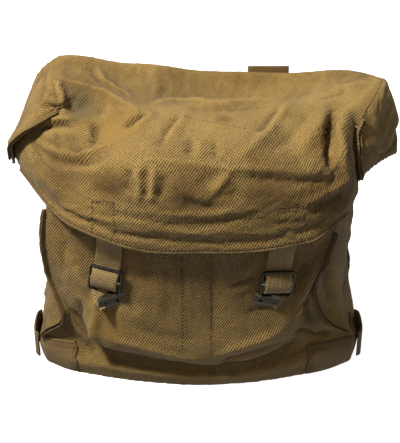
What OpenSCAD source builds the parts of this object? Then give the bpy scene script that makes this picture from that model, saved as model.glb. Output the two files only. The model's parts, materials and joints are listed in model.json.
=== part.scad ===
// Canvas sack with a boxed lid, two strap-and-buckle closures and webbing fittings.
// The sack stands on its base. +X runs to the right across the front, +Y to the back, +Z up.
// The origin is on the base, on the line that divides left from right.

/* [Sack] */
// Width across the two gussets
sack_w = 316; // [300:2:324]
// Depth of each gusset, front corner to back corner
gusset_d = 114; // [106:2:120]
// How far the front panel bellies out past the gussets
belly = 36; // [32:1:40]
// Height of the mouth at the front and sides
mouth_h = 238; // [230:1:242]
// Height of the back edge that carries the lid
back_h = 263; // [260:0.5:263]
// Thickness of one layer of canvas
canvas_t = 2; // [1.5:0.1:2]

/* [Lid] */
// How far the lid stands out past each gusset
lid_side_gap = 16; // [12:1:18]
// How far the lid's front fall stands out from the front panel
lid_front_gap = 6; // [6:0.5:7]
// Height of the lowest point of the lid's front fall
fall_z = 165; // [164:1:168]
// Depth of the stitched hem inside the fall
hem_h = 38; // [30:1:40]

/* [Closures] */
// Sideways place of the left closure
left_x = -87; // [-90:1:-80]
// Sideways place of the right closure
right_x = 71; // [66:1:80]
// Height of the left buckle's centre bar
left_z = 123; // [121:0.5:125]
// Height of the right buckle's centre bar
right_z = 121; // [119:0.5:123]
// Width of the closure straps
strap_w = 25; // [24:0.5:26]
// Clockwise lean of the left closure, seen from the front
left_roll = 8; // [6:1:9]
// Clockwise lean of the right closure, seen from the front
right_roll = 6; // [4:1:8]

/* [Shoulder tabs] */
// Sideways place of each shoulder tab
tab_x = 66; // [60:1:90]
// Width of the shoulder tabs
tab_w = 40; // [38:1:41]

/* [Hidden] */
$fn = 48;
arc_fn = 240;
more = 400;
bar_r = 1.6;
bore_r = bar_r + 0.3;
chape_t = 1.6;
bar_out = 5;
tab_bar_out = 7.5;

side_x = sack_w / 2;
front_reach = belly + lid_front_gap + canvas_t;
back_reach = gusset_d + tab_bar_out + bore_r + chape_t;
left_place = [left_x, left_z, left_roll];
right_place = [right_x, right_z, right_roll];
corner_y = (front_reach - back_reach) / 2;
back_y = corner_y + gusset_d;
front_r = (side_x * side_x + belly * belly) / (2 * belly);
arc_y = corner_y - belly + front_r;
base_t = 3;
hem_drop = 30;

web_t = 2.2;
band_h = 33;
band_z = 3;
band_front = 37;
band_side = 40;
loop_gap = 5;
loop_len = 32;

lid_x = side_x + lid_side_gap;
lid_out = lid_front_gap + canvas_t;
fall_r = 750;
hinge_y = back_y + 0.5;
hinge_z = 265;
// The lid's top in section, from the hinge forwards: its height at each distance along Y
lid_line = [
  [hinge_y, hinge_z + 1], [67, 265.5], [48, 260], [30, 261], [5, 273], [-30, 265], [-70, 257],
  [-92, 252]
];

frame_t = 3;
strap_in = 8.8;
strap_root_out = 3;
strap_root_z = 33;
strap_end_z = -28;
tip_h = 13;

tab_root_z = 242;
tab_bar_z = 216;
tab_bar_y = back_y + tab_bar_out;

flap_axis_x = 152;
flap_axis_z = 231;
flap_drop = 80;

canvas = [0.56, 0.46, 0.29];
canvas_dark = [0.45, 0.36, 0.22];
webbing = [0.60, 0.52, 0.36];
brass = [0.24, 0.22, 0.19];

// ---- shared shapes -------------------------------------------------------------------------

// The sack's plan, grown outwards: a straight back and sides with a bowed front
module plan(grow_front, half_w, back) {
  intersection() {
    translate([0, arc_y]) circle(r = front_r + grow_front, $fn = arc_fn);
    translate([-half_w, -more]) square([2 * half_w, more + back]);
  }
}

// A wall that follows the bowed front, between two distances out from the front panel's face
module bowed_wall(inner, outer, x0, x1, z0, z1) {
  translate([0, 0, z0])
    linear_extrude(z1 - z0)
      intersection() {
        difference() {
          translate([0, arc_y]) circle(r = front_r + outer, $fn = arc_fn);
          translate([0, arc_y]) circle(r = front_r + inner, $fn = arc_fn);
        }
        translate([x0, -more]) square([x1 - x0, more]);
      }
}

// Draws a YZ outline and runs it along X, centred on X = 0
module along_x(width) {
  rotate([90, 0, 90])
    linear_extrude(width, center = true) children();
}

// Puts children on the front panel's face, with -Y pointing straight out of it. place holds
// the sideways position, the height and the clockwise lean.
module on_front(place) {
  translate([0, arc_y, 0])
    rotate([0, 0, asin(place[0] / front_r)])
      translate([0, -front_r, place[1]])
        rotate([0, place[2], 0]) children();
}

module rounded(w, h, r) {
  square([w - 2 * r, h], center = true);
  square([w, h - 2 * r], center = true);
  for (x = [-1, 1], y = [-1, 1])
    translate([x * (w / 2 - r), y * (h / 2 - r)]) circle(r);
}

module side(sign) {
  mirror([sign < 0 ? 1 : 0, 0, 0]) children();
}

// ---- sack ----------------------------------------------------------------------------------

module base_panel() {
  color(canvas) linear_extrude(base_t) plan(0, side_x, back_y);
}

module front_panel() {
  color(canvas)
    bowed_wall(-canvas_t, 0, canvas_t - side_x, side_x - canvas_t, base_t, mouth_h);
}

module back_panel() {
  color(canvas)
    translate([canvas_t - side_x, back_y - canvas_t, base_t])
      cube([2 * (side_x - canvas_t), canvas_t, back_h - base_t]);
}

module gusset() {
  color(canvas)
    translate([side_x - canvas_t, corner_y + 1, base_t])
      cube([canvas_t, gusset_d - 1, mouth_h - base_t]);
}

// The turned-in hem round the mouth, along both gussets and the front
module mouth_hem() {
  color(canvas_dark)
    translate([0, 0, mouth_h - hem_drop])
      linear_extrude(hem_drop)
        difference() {
          plan(-canvas_t, side_x - canvas_t, 60);
          plan(-2 * canvas_t, side_x - 2 * canvas_t, 61);
        }
}

// The reinforcing band stitched down the middle of the front panel's inner face
module centre_band() {
  color(canvas_dark)
    bowed_wall(-canvas_t - 1.5, -canvas_t, -17, 10, 24, mouth_h - hem_drop - 2);
}

// The bound seam ridges that stand out at the sack's upright corners
module front_seam() {
  color(canvas_dark)
    translate([side_x, corner_y - 2, band_z + band_h + 2])
      cube([4, 6, mouth_h - band_z - band_h - 2]);
}

module back_seam() {
  color(canvas_dark)
    translate([side_x, back_y - 5, base_t])
      cube([3, 5, mouth_h - base_t]);
}

// ---- webbing fittings on the sack ----------------------------------------------------------

// Webbing wrapped round a lower front corner, from the front panel to the gusset
module corner_band() {
  color(webbing)
    translate([0, 0, band_z])
      linear_extrude(band_h)
        intersection() {
          difference() {
            plan(web_t, side_x + web_t, back_y);
            plan(0, side_x, back_y + 1);
          }
          translate([side_x - band_front, -more])
            square([more, more + corner_y + band_side]);
        }
}

// Webbing loop on the corner band, open up and down for a supporting strap
module strap_loop() {
  x0 = side_x + web_t;
  color(webbing)
    translate([x0, corner_y + 6, band_z + 3])
      difference() {
        cube([loop_gap + web_t, loop_len, band_h - 6]);
        translate([-1, web_t, -1]) cube([loop_gap + 1, loop_len - 2 * web_t, band_h]);
      }
}

// Short webbing tongue sewn to the front, turned round a buckle's centre bar
module chape() {
  tail = 24;
  color(webbing)
    along_x(strap_w)
      difference() {
        union() {
          translate([-chape_t, -tail]) square([chape_t, tail + 3]);
          translate([-4, -3]) square([4, 6]);
          translate([-bar_out, 0]) circle(bore_r + chape_t);
        }
        translate([-bar_out, 0]) circle(bore_r);
      }
}

// Webbing patch sewn at the top of the back, above a shoulder tab
module tab_anchor() {
  color(webbing)
    translate([tab_x - tab_w / 2, back_y, tab_root_z + 2])
      cube([tab_w, web_t, 262 - tab_root_z - 2]);
}

// Free webbing tab that hangs from the anchor and holds the shoulder buckle
module shoulder_tab() {
  color(webbing)
    translate([tab_x, 0, 0])
      along_x(tab_w)
        difference() {
          union() {
            translate([back_y + 3.2, tab_root_z]) circle(1);
            translate([back_y + 2.2, tab_bar_z - 1]) square([2, tab_root_z - tab_bar_z + 1]);
            translate([back_y + 2.2, tab_bar_z - 3]) square([3, 6]);
            translate([tab_bar_y, tab_bar_z]) circle(bore_r + chape_t);
          }
          translate([tab_bar_y, tab_bar_z]) circle(bore_r);
        }
}

// ---- buckles -------------------------------------------------------------------------------

// A frame in the XZ plane with a round centre bar on the X axis and a split lower bar
module buckle(w, up, down, side_bar, cross_bar, split) {
  h = up + down;
  middle = (up - down) / 2;
  color(brass) {
    rotate([90, 0, 0])
      linear_extrude(frame_t, center = true)
        difference() {
          translate([0, middle]) rounded(w, h, 3.5);
          translate([0, middle]) rounded(w - 2 * side_bar, h - 2 * cross_bar, 1.2);
          translate([-split / 2 - 1, -down - 1]) square([split, cross_bar + 2]);
        }
    rotate([0, 90, 0]) cylinder(r = bar_r, h = w - side_bar, center = true);
  }
}

module front_buckle() {
  translate([0, -bar_out, 0]) buckle(33, 14, 16, 3.2, 3, 8);
}

module shoulder_buckle() {
  translate([tab_x, tab_bar_y, tab_bar_z]) buckle(54, 15, 19, 4.5, 3.4, 12);
}

// ---- lid -----------------------------------------------------------------------------------

// The YZ region from the lid's top, lowered by drop, up to a line high above it
module above_lid(drop) {
  top = [for (p = lid_line) [p[0], p[1] - drop]];
  last = lid_line[len(lid_line) - 1];
  polygon(concat(top, [[last[0], more], [hinge_y, more]]));
}

// Everything above the sagging lower edge of the front fall, raised by lift
module above_edge(lift) {
  translate([0, 0, fall_z + lift + fall_r])
    rotate([90, 0, 0]) cylinder(r = fall_r, h = 2 * more, center = true, $fn = arc_fn);
}

module lid_top() {
  color(canvas)
    intersection() {
      union() {
        along_x(2 * (lid_x + canvas_t))
          difference() {
            above_lid(canvas_t);
            above_lid(0);
          }
        translate([0, hinge_y, hinge_z])
          rotate([0, 90, 0]) cylinder(r = 1, h = 2 * side_x, center = true);
      }
      linear_extrude(more) plan(lid_out, lid_x + canvas_t, hinge_y + 2);
    }
}

module lid_front() {
  color(canvas)
    difference() {
      intersection() {
        bowed_wall(lid_front_gap, lid_out, -lid_x, lid_x, fall_z - 1, hinge_z + 10);
        above_edge(0);
      }
      along_x(2 * more) above_lid(canvas_t);
    }
}

module lid_side() {
  front_y = corner_y + 2;
  rear_y = back_y - 2;
  color(canvas)
    difference() {
      translate([lid_x + canvas_t / 2, 0, 0])
        along_x(canvas_t)
          polygon([[front_y, 187], [rear_y, 206], [rear_y, 290], [front_y, 290]]);
      along_x(2 * more) above_lid(canvas_t);
    }
}

// The stitched hem inside the front fall
module lid_hem() {
  color(canvas_dark)
    difference() {
      intersection() {
        bowed_wall(lid_front_gap - canvas_t, lid_front_gap, -150, 150, fall_z - 1, 240);
        above_edge(0);
      }
      above_edge(hem_h);
    }
}

// The bound seam ridge at each front corner of the boxed lid
module lid_seam() {
  color(canvas_dark)
    translate([lid_x + canvas_t, corner_y + 2, 192]) cube([3, 5, 60]);
}

// ---- closure straps ------------------------------------------------------------------------

// The part of a strap that is sewn inside the lid's hem
module strap_anchor() {
  anchor_out = lid_front_gap - canvas_t - 0.9;
  anchor_t = 1.5;
  color(webbing)
    translate([-strap_w / 2, -anchor_out, strap_root_z + 5])
      cube([strap_w, anchor_t, 38]);
}

// The free part of a strap: it steps out from the lid's edge and lies down over the buckle
module strap_web() {
  out = strap_in;
  lip = 0.8;
  step = 5;
  color(webbing)
    along_x(strap_w)
      union() {
        translate([-strap_root_out, strap_root_z]) circle(1);
        polygon([
          [lip - strap_root_out, strap_root_z - 0.6],
          [-lip - strap_root_out, strap_root_z + 0.6],
          [-out - web_t, strap_root_z - step + 1],
          [-out - web_t, strap_end_z + 1.5],
          [-out, strap_end_z + 1.5],
          [-out, strap_root_z - step - 0.5]
        ]);
      }
}

// The cast end cap folded over the strap, with its two pierced holes
module strap_tip() {
  wrap = 0.8;
  wide = strap_w + 2;
  color(brass)
    translate([0, -strap_in - web_t / 2, strap_end_z])
      difference() {
        rotate([90, 0, 0])
          linear_extrude(web_t + 2 * wrap, center = true)
            translate([0, tip_h / 2]) rounded(wide, tip_h, 2.5);
        translate([-strap_w / 2, -web_t / 2, 1.5]) cube([strap_w, web_t, tip_h]);
        for (x = [-6, 6])
          translate([x, 0, tip_h / 2])
            rotate([90, 0, 0]) cylinder(r = 1.4, h = 20, center = true);
      }
}

// ---- weather flaps -------------------------------------------------------------------------

// A canvas flap hinged inside the mouth, hanging down beside the gusset
module weather_flap() {
  flap_t = 1.5;
  flap_len = 84;
  color(canvas_dark)
    translate([flap_axis_x, 14, flap_axis_z]) {
      rotate([90, 0, 0]) cylinder(r = 1, h = flap_len, center = true);
      translate([-flap_t / 2, -flap_len / 2, -flap_drop]) cube([flap_t, flap_len, flap_drop]);
    }
}

// ---- assembly ------------------------------------------------------------------------------

base_panel();
front_panel();
back_panel();
side(-1) gusset();  // left_gusset
gusset();  // right_gusset
mouth_hem();
centre_band();
side(-1) front_seam();  // front_left_seam
front_seam();  // front_right_seam
side(-1) back_seam();  // back_left_seam
back_seam();  // back_right_seam
side(-1) corner_band();  // left_corner_band
corner_band();  // right_corner_band
side(-1) strap_loop();  // left_strap_loop
strap_loop();  // right_strap_loop
on_front(left_place) chape();  // left_chape
on_front(right_place) chape();  // right_chape
side(-1) tab_anchor();  // left_tab_anchor
tab_anchor();  // right_tab_anchor
on_front(left_place) front_buckle();  // left_buckle_frame
on_front(right_place) front_buckle();  // right_buckle_frame
side(-1) shoulder_tab();  // left_shoulder_tab
shoulder_tab();  // right_shoulder_tab
side(-1) shoulder_buckle();  // left_shoulder_frame
shoulder_buckle();  // right_shoulder_frame
lid_top();
lid_front();
side(-1) lid_side();  // lid_left_side
lid_side();  // lid_right_side
lid_hem();
side(-1) lid_seam();  // lid_left_seam
lid_seam();  // lid_right_seam
on_front(left_place) strap_anchor();  // left_strap_anchor
on_front(right_place) strap_anchor();  // right_strap_anchor
on_front(left_place) strap_web();  // left_strap_web
on_front(right_place) strap_web();  // right_strap_web
on_front(left_place) strap_tip();  // left_strap_tip
on_front(right_place) strap_tip();  // right_strap_tip
side(-1) weather_flap();  // left_weather_flap
weather_flap();  // right_weather_flap
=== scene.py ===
"""Looks for a canvas pack: a boxed lid slumped over a sagging body, two webbing straps through
their buckles, and the webbing fittings. Lengths in this file are millimetres until a mesh is made."""
import json
import math

import bpy
import numpy as np
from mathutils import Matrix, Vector


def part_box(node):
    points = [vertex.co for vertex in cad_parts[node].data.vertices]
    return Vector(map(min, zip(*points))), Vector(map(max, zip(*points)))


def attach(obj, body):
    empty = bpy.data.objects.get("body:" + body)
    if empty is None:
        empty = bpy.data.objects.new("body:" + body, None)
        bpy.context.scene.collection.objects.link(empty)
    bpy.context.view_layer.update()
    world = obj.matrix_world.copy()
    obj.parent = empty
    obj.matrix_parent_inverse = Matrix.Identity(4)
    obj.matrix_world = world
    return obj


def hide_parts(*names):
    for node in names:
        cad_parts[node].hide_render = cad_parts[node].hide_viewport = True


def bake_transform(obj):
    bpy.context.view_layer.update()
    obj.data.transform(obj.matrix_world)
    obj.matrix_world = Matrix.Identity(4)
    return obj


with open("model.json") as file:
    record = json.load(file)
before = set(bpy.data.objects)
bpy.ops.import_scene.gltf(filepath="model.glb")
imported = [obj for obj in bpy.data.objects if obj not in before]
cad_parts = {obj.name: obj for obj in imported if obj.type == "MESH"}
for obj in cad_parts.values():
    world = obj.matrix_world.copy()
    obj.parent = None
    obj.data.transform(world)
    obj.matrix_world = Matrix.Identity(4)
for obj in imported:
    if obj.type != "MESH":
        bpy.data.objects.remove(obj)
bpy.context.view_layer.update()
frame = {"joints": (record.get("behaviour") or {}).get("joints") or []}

MM = 0.001
CANVAS_T = 1.8
WEB_T = 1.8
STRAP_W = 25
rng = np.random.default_rng(11)


# ---- curves and grids ------------------------------------------------------------------------

def unit(vectors):
    """Vectors scaled to length 1."""
    vectors = np.asarray(vectors, float)
    return vectors / np.maximum(np.linalg.norm(vectors, axis=-1, keepdims=True), 1e-9)


def smooth(knots, values, at):
    """A smooth curve through values at knots, read at the places in at."""
    knots = np.asarray(knots, float)
    values = np.asarray(values, float)
    at = np.asarray(at, float)
    slope = np.gradient(values, knots, axis=0)
    i = np.clip(np.searchsorted(knots, at, side="right") - 1, 0, len(knots) - 2)
    span = knots[i + 1] - knots[i]
    shape = (-1,) + (1,) * (values.ndim - 1)
    t = ((at - knots[i]) / span).reshape(shape)
    span = span.reshape(shape)
    a = values[i] * (1 + 2 * t) * (1 - t) ** 2 + values[i + 1] * t * t * (3 - 2 * t)
    return a + span * (slope[i] * t * (1 - t) ** 2 - slope[i + 1] * t * t * (1 - t))


def chords(points):
    """The running length along a line of points, from 0 to 1."""
    steps = np.linalg.norm(np.diff(points, axis=0), axis=1)
    run = np.concatenate([[0], np.cumsum(np.maximum(steps, 1e-6))])
    return run / run[-1]


def running(line):
    """The length along a line of points up to each of them."""
    return np.concatenate([[0], np.cumsum(np.linalg.norm(np.diff(line, axis=0), axis=1))])


def curve(points, count):
    """A smooth line of count points through the given ones."""
    points = np.asarray(points, float)
    return smooth(chords(points), points, np.linspace(0, 1, count))


def loft(stations, across, along):
    """A grid of points through stations, which are columns of given points."""
    cage = np.asarray(stations, float)
    down = np.mean([chords(c) for c in cage], axis=0)
    over = np.mean([chords(cage[:, r]) for r in range(cage.shape[1])], axis=0)
    columns = np.array([smooth(down, c, np.linspace(0, 1, along)) for c in cage])
    return smooth(over, columns, np.linspace(0, 1, across))


def normals(grid, inside):
    """Unit normals of a grid of points, pointing away from the point inside."""
    n = unit(np.cross(np.gradient(grid, axis=0), np.gradient(grid, axis=1)))
    if np.mean(np.sum(n * (grid - np.asarray(inside, float)), axis=-1)) < 0:
        n = -n
    return n


def soften(values, passes):
    """A grid of numbers or points averaged with its neighbours, its edges kept."""
    values = np.array(values, float)
    for _ in range(passes):
        middle = (values[:-2, 1:-1] + values[2:, 1:-1] + values[1:-1, :-2] + values[1:-1, 2:]) / 4
        values[1:-1, 1:-1] = (values[1:-1, 1:-1] + middle) / 2
    return values


def ramp(t, end):
    """1 along a line and down to 0 at both its ends, over the share end."""
    near = np.clip(np.minimum(t, 1 - t) / end, 0, 1)
    return near * near * (3 - 2 * near)


def relief(grid, inside, strokes):
    """Raises ridges and sinks creases in a grid. A stroke is (points, width, height)."""
    n = normals(grid, inside)
    moved = grid.copy()
    flat = grid.reshape(-1, 3)
    for points, width, height in strokes:
        line = curve(points, 60)
        near = np.argmin(np.linalg.norm(flat[None] - line[:, None], axis=2), axis=1)
        line = soften_line(flat[near], 4)
        away = np.linalg.norm(grid[:, :, None] - line[None, None], axis=3)
        t = np.argmin(away, axis=2) / (len(line) - 1)
        power = 2.0 if height > 0 else 1.5
        lift = height * np.exp(-(np.min(away, axis=2) / width) ** power) * ramp(t, 0.3)
        moved = moved + n * lift[..., None]
    return moved


def soften_line(points, passes):
    """A line of points averaged with its neighbours, its ends kept."""
    points = points.copy()
    for _ in range(passes):
        points[1:-1] = (points[:-2] + 2 * points[1:-1] + points[2:]) / 4
    return points


# ---- meshes ----------------------------------------------------------------------------------

def add_object(name, data):
    """A new object in the scene."""
    added = bpy.data.objects.new(name, data)
    bpy.context.scene.collection.objects.link(added)
    return added


def make(name, points, faces, uv, shades=None):
    """A smooth mesh object from millimetre points, with a millimetre UV for each point."""
    mesh = bpy.data.meshes.new(name)
    mesh.from_pydata([tuple(p) for p in np.asarray(points) * MM], [], [tuple(f) for f in faces])
    layer = mesh.uv_layers.new(name="cloth")
    corner = np.zeros(len(mesh.loops), int)
    mesh.loops.foreach_get("vertex_index", corner)
    layer.data.foreach_set("uv", (np.asarray(uv)[corner] * MM).ravel())
    for label, values in (shades or {}).items():
        attribute = mesh.attributes.new(label, "FLOAT", "POINT")
        attribute.data.foreach_set("value", np.asarray(values, np.float32))
    mesh.polygons.foreach_set("use_smooth", [True] * len(mesh.polygons))
    mesh.update()
    return add_object(name, mesh)


def cloth_uv(grid, step=6, rounds=500):
    """Where each point of a cloth grid lies on the flat cloth it was cut from: the grid is laid
    out in a plane, and its points are moved until they are as far apart as on the sack."""
    rows = np.unique(np.append(np.arange(0, grid.shape[0], step), grid.shape[0] - 1))
    columns = np.unique(np.append(np.arange(0, grid.shape[1], step), grid.shape[1] - 1))
    coarse = grid[np.ix_(rows, columns)]
    over = np.linalg.norm(np.diff(coarse, axis=0), axis=2).mean(axis=1)
    down = np.linalg.norm(np.diff(coarse, axis=1), axis=2).mean(axis=0)
    start = np.meshgrid(np.concatenate([[0], np.cumsum(over)]), np.concatenate([[0], np.cumsum(down)]),
                        indexing="ij")
    flat = np.stack(start, axis=-1)
    links = [(np.s_[:-1], np.s_[1:]), (np.s_[:, :-1], np.s_[:, 1:]),
             (np.s_[:-1, :-1], np.s_[1:, 1:]), (np.s_[1:, :-1], np.s_[:-1, 1:])]
    rests = [np.linalg.norm(coarse[b] - coarse[a], axis=-1) for a, b in links]
    for _ in range(rounds):
        move = np.zeros_like(flat)
        for (a, b), rest in zip(links, rests):
            gap = flat[b] - flat[a]
            length = np.maximum(np.linalg.norm(gap, axis=-1), 1e-6)
            push = gap * ((length - rest) / length / 2)[..., None]
            move[a] += push
            move[b] -= push
        flat += move / 8
    flat = smooth(rows, flat, np.arange(grid.shape[0]))
    return np.swapaxes(smooth(columns, np.swapaxes(flat, 0, 1), np.arange(grid.shape[1])), 0, 1)


def hollows(grid, inside, passes=10):
    """How far each point lies below (+) or above (-) its smoothed surroundings."""
    n = normals(grid, inside)
    return np.sum((soften(grid, passes) - grid) * n, axis=-1)


def grid_faces(rows, columns, start=0, flip=False):
    """Quads over a rows by columns grid of point numbers."""
    number = np.arange(rows * columns).reshape(rows, columns) + start
    quads = [number[:-1, :-1], number[1:, :-1], number[1:, 1:], number[:-1, 1:]]
    faces = np.stack([q.ravel() for q in quads], axis=1)
    return faces[:, ::-1] if flip else faces


def sheet(name, grid, inside, thick=CANVAS_T):
    """A sheet of cloth with real thickness, its outer face on the grid."""
    rows, columns = grid.shape[:2]
    n = normals(grid, inside)
    outward = unit(np.cross(np.gradient(grid, axis=0), np.gradient(grid, axis=1)))
    flip = np.sum(outward * n) < 0
    points = np.concatenate([grid.reshape(-1, 3), (grid - n * thick).reshape(-1, 3)])
    count = rows * columns
    number = np.arange(count).reshape(rows, columns)
    rim = np.concatenate([number[:, 0], number[-1, 1:], number[-2::-1, -1], number[0, -2:0:-1]])
    after = np.roll(rim, -1)
    sides = np.stack([rim, rim + count, after + count, after], axis=1)
    if flip:
        sides = sides[:, ::-1]
    faces = np.concatenate([
        grid_faces(rows, columns, 0, flip),
        grid_faces(rows, columns, count, not flip),
        sides,
    ])
    uv = cloth_uv(grid).reshape(-1, 2)
    # The canvas materials read the hollow value to lighten the crests (wear and painted highlight) and
    # paint shade into the hollows.
    hollow = hollows(grid, inside).ravel()
    return make(name, points, faces, np.concatenate([uv, uv]), {"hollow": np.tile(hollow, 2)})


def sweep(name, path, side, section):
    """A closed section of (side, out) points run along a path. side is one vector or one each."""
    path = np.asarray(path, float)
    ahead = unit(np.gradient(path, axis=0))
    side = np.broadcast_to(np.asarray(side, float), path.shape)
    side = unit(side - ahead * np.sum(side * ahead, axis=1, keepdims=True))
    out = np.cross(ahead, side)
    section = np.asarray(section, float)
    if section.ndim == 2:
        section = np.broadcast_to(section, (len(path),) + section.shape)
    points = path[:, None] + side[:, None] * section[..., :1] + out[:, None] * section[..., 1:]
    rows, columns = points.shape[:2]
    number = np.arange(rows * columns).reshape(rows, columns)
    number = np.concatenate([number, number[:, :1]], axis=1)
    quads = [number[:-1, :-1], number[:-1, 1:], number[1:, 1:], number[1:, :-1]]
    faces = [tuple(f) for f in np.stack([q.ravel() for q in quads], axis=1)]
    faces.append(tuple(number[0, :-1][::-1]))
    faces.append(tuple(number[-1, :-1]))
    run = running(path)
    around = section[..., 0]
    uv = np.stack([around, np.broadcast_to(run[:, None], around.shape)], axis=-1)
    return make(name, points.reshape(-1, 3), faces, uv.reshape(-1, 2))


def flat_section(width, thick, cells=8):
    """A webbing tape's section: a wide strip with rounded edges."""
    half = width / 2 - thick / 2
    x = np.linspace(-half, half, cells)
    turn = np.radians([60, 20, -20, -60])
    right = np.stack([half + thick / 2 * np.cos(turn), thick / 2 * np.sin(turn)], axis=1)
    top = np.stack([x, np.full(cells, thick / 2)], axis=1)
    return np.concatenate([top, right, -top, -right])


def round_section(radius, sides=8):
    """A circle's section."""
    turn = np.linspace(0, 2 * np.pi, sides, endpoint=False)
    return np.stack([radius * np.cos(turn), radius * np.sin(turn)], axis=1)


def join(name, parts):
    """One object from several, keeping their UVs."""
    with bpy.context.temp_override(active_object=parts[0], selected_editable_objects=parts):
        bpy.ops.object.join()
    parts[0].name = name
    parts[0].data.name = name
    return parts[0]


def finish(piece, body, material, replaces=()):
    """Gives a piece its material, hangs it on the body it rides on, and hides the nodes it stands for."""
    piece.data.materials.clear()
    piece.data.materials.append(material)
    if body:
        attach(piece, body)
    if replaces:
        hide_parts(*replaces)
    return piece


# ---- cloth simulation ------------------------------------------------------------------------

SIM_FRAMES = 14
CANVAS_CLOTH = {
    "quality": 6, "mass": 0.25, "tension_stiffness": 30, "compression_stiffness": 30,
    "shear_stiffness": 12, "bending_stiffness": 1.2, "air_damping": 2,
    "vertex_group_mass": "hold", "pin_stiffness": 0.6,
}


def settle(name, grid, inside, grow, hold, cap):
    """Runs a grid as cloth cut a little too large for its form, so that it buckles the way
    canvas does. hold is 1 where it is sewn down, and lower where it is free to move."""
    rows, columns = grid.shape[:2]
    jitter = 0.25
    start = grid + normals(grid, inside) * rng.normal(0, jitter, (rows, columns, 1))
    faces = grid_faces(rows, columns)
    body = make(name + "_sim", start.reshape(-1, 3), faces, cloth_uv(grid).reshape(-1, 2))
    group = body.vertex_groups.new(name="hold")
    for index, weight in enumerate(hold.ravel()):
        group.add([index], float(weight), "REPLACE")
    cloth = body.modifiers.new("Cloth", "CLOTH")
    settings = cloth.settings
    for key, value in CANVAS_CLOTH.items():
        setattr(settings, key, value)
    settings.shrink_min = -grow
    settings.effector_weights.gravity = 0.4
    cloth.collision_settings.use_collision = False
    cloth.point_cache.frame_start = 1
    cloth.point_cache.frame_end = SIM_FRAMES
    scene = bpy.context.scene
    for number in range(1, SIM_FRAMES + 1):
        scene.frame_set(number)
    seen = body.evaluated_get(bpy.context.evaluated_depsgraph_get())
    co = np.zeros(rows * columns * 3, np.float32)
    seen.data.vertices.foreach_get("co", co)
    moved = co.reshape(rows, columns, 3) / MM
    scene.frame_set(1)
    bpy.data.objects.remove(body)
    shift = moved - grid
    far = np.linalg.norm(shift, axis=2, keepdims=True)
    shift *= np.minimum(1, cap / np.maximum(far, 1e-6))
    return grid + soften(shift, 1)


def held(grid, inner, edges=(1, 1, 1, 1), reach=6):
    """Hold weights: 1 at the chosen edges (first u, last u, first v, last v), inner elsewhere."""
    rows, columns = grid.shape[:2]
    i = np.arange(rows)[:, None] + np.zeros((1, columns))
    j = np.arange(columns)[None] + np.zeros((rows, 1))
    weight = np.full((rows, columns), float(inner))
    for away, strength in zip((i, rows - 1 - i, j, columns - 1 - j), edges):
        near = np.clip(1 - away / reach, 0, 1)
        weight = np.maximum(weight, inner + (strength - inner) * near)
    weight[0] = max(edges[0], inner)
    weight[-1] = max(edges[1], inner)
    weight[:, 0] = np.maximum(weight[:, 0], edges[2])
    weight[:, -1] = np.maximum(weight[:, -1], edges[3])
    return weight


# ---- camera, floor and light -----------------------------------------------------------------

def look_at(obj, target):
    """Turns a camera or a lamp to face a point."""
    to = Vector(target) - obj.location
    obj.rotation_euler = to.to_track_quat("-Z", "Y").to_euler()


CAMERA_PITCH = math.radians(33)
CAMERA_DISTANCE = 1.2
TARGET = Vector((0, 0.0015, 0.14))
LAMP_TARGET = (0, 0, 0.14)

camera_data = bpy.data.cameras.new("camera")
camera = add_object("camera", camera_data)
bpy.context.scene.camera = camera
camera_data.sensor_width = 36
camera_data.lens = 100.4
camera.location = TARGET + CAMERA_DISTANCE * Vector((0, -math.cos(CAMERA_PITCH), math.sin(CAMERA_PITCH)))
look_at(camera, TARGET)


def area_light(name, place, size, power, colour):
    """A soft square lamp."""
    data = bpy.data.lights.new(name, "AREA")
    data.size = size
    data.energy = power
    data.color = colour
    lamp = add_object(name, data)
    lamp.location = place
    look_at(lamp, LAMP_TARGET)


area_light("key", (-0.66, -0.34, 1.32), 0.18, 33, (1.0, 0.98, 0.95))
area_light("fill", (-0.5, -1.6, 0.9), 1.0, 2.3, (1.0, 0.98, 0.95))
area_light("side", (1.4, -0.8, 0.8), 0.8, 1.2, (0.88, 0.94, 1.0))
area_light("rim", (0.1, 1.1, 1.2), 0.8, 3, (1.0, 0.98, 0.95))

bpy.context.scene.view_settings.view_transform = "Standard"
world = bpy.data.worlds.new("studio")
bpy.context.scene.world = world
world.use_nodes = True
world.node_tree.nodes["Background"].inputs["Color"].default_value = (1, 0.99, 0.97, 1)
world.node_tree.nodes["Background"].inputs["Strength"].default_value = 0.2


# ---- materials -------------------------------------------------------------------------------

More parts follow.
